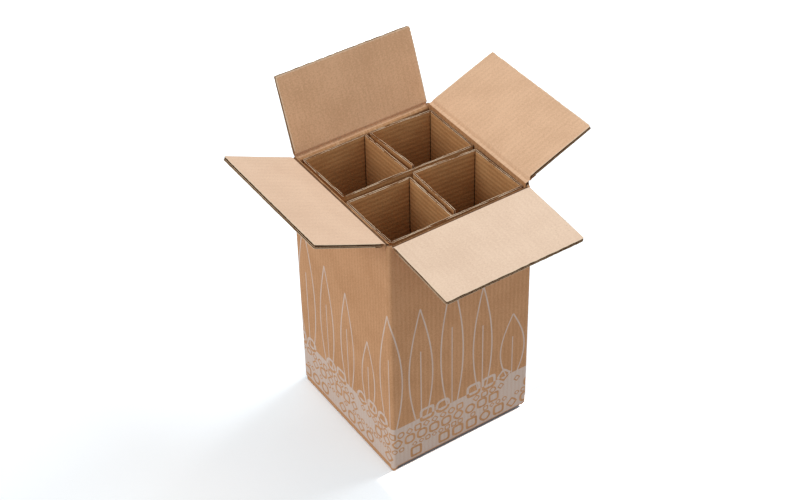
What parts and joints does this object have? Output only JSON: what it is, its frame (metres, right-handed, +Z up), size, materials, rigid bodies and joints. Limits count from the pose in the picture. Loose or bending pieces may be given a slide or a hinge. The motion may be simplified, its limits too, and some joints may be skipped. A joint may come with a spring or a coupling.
{
  "type": "bottle shipping box",
  "caption": "Corrugated shipping carton for bottles, with folded cell dividers, glued side seam and hinged top flaps.",
  "frame": {"origin": "centre of the base, on the floor", "axes": "+Z up; X across the front wall, Y from the front wall to the back wall; the left and right walls carry the outer flaps"},
  "size_m": [0.4136, 0.3735, 0.486],
  "materials": {
    "kraft_board": "brown kraft double-wall board, matt",
    "divider_board": "brown kraft single-wall board, matt"
  },
  "bodies": {
    "box": {"carton": "kraft_board", "divider_front": "divider_board", "divider_back": "divider_board"},
    "left_flap": {"flap_left": "kraft_board"},
    "right_flap": {"flap_right": "kraft_board"},
    "front_flap": {"flap_front": "kraft_board"},
    "back_flap": {"flap_back": "kraft_board"}
  },
  "joints": [
    {"name": "left_flap_crease", "type": "hinge", "parent": "box", "child": "left_flap", "pos_m": [-0.1069, 0, 0.38675], "axis": [0, 1, 0], "range_deg": [-64.4, 155.6]},
    {"name": "right_flap_crease", "type": "hinge", "parent": "box", "child": "right_flap", "pos_m": [0.1069, 0, 0.38675], "axis": [0, -1, 0], "range_deg": [-62, 158]},
    {"name": "front_flap_crease", "type": "hinge", "parent": "box", "child": "front_flap", "pos_m": [0, -0.1108, 0.3826], "axis": [-1, 0, 0], "range_deg": [-35.5, 184.5]},
    {"name": "back_flap_crease", "type": "hinge", "parent": "box", "child": "back_flap", "pos_m": [0, 0.1108, 0.3826], "axis": [1, 0, 0], "range_deg": [-108.8, 111.2]}
  ]
}
